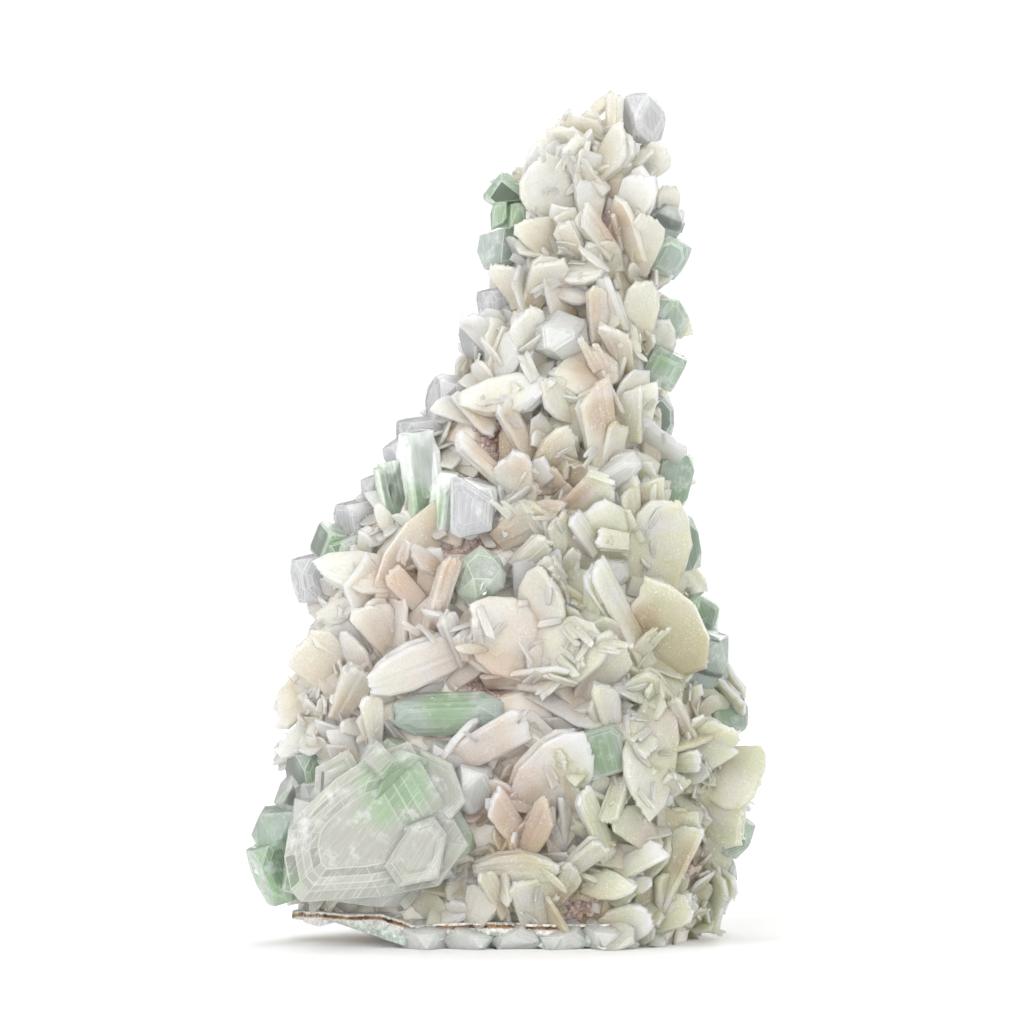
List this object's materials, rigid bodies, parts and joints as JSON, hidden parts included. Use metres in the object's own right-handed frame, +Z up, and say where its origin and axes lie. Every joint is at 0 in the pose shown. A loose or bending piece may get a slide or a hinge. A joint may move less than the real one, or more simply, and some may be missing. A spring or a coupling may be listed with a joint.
{
  "type": "apophyllite and stilbite crystal cluster",
  "caption": "Standing spire of cream stilbite blades on rock, studded with pale green glassy apophyllite crystals, resting on a flat cut base.",
  "frame": {"origin": "centre of the bounding box in plan, on the plane of the cut base", "axes": "+Z up along the spire, -Y towards the showy front, +X to the viewer's right"},
  "size_m": [0.1292, 0.0814, 0.2117],
  "materials": {
    "stilbite": "satin",
    "matrix": "matte",
    "apophyllite": "polished"
  },
  "bodies": {
    "root": {"matrix_with_stilbite": "stilbite", "apophyllite_tip": "apophyllite", "apophyllite_left_column": "apophyllite", "apophyllite_pyramid": "apophyllite", "apophyllite_left_ledge": "apophyllite", "apophyllite_lilac_shelf": "apophyllite", "apophyllite_prism_group": "apophyllite", "apophyllite_left_edge": "apophyllite", "apophyllite_well_formed": "apophyllite", "apophyllite_sparkling_bar": "apophyllite", "apophyllite_right_top": "apophyllite", "apophyllite_right_shoulder": "apophyllite", "apophyllite_right_wedge": "apophyllite", "apophyllite_right_grey": "apophyllite", "apophyllite_right_waist": "apophyllite", "apophyllite_right_green": "apophyllite", "apophyllite_dome": "apophyllite", "apophyllite_right_point": "apophyllite", "apophyllite_right_foot": "apophyllite", "apophyllite_corner": "apophyllite", "apophyllite_left_dark": "apophyllite", "apophyllite_great_group": "apophyllite", "apophyllite_long_bar": "apophyllite", "apophyllite_green_patch": "apophyllite", "apophyllite_back_high": "apophyllite", "apophyllite_back_shoulder": "apophyllite", "apophyllite_back_right": "apophyllite", "apophyllite_back_left": "apophyllite", "apophyllite_back_low": "apophyllite", "apophyllite_back_foot": "apophyllite"}
  },
  "joints": []
}
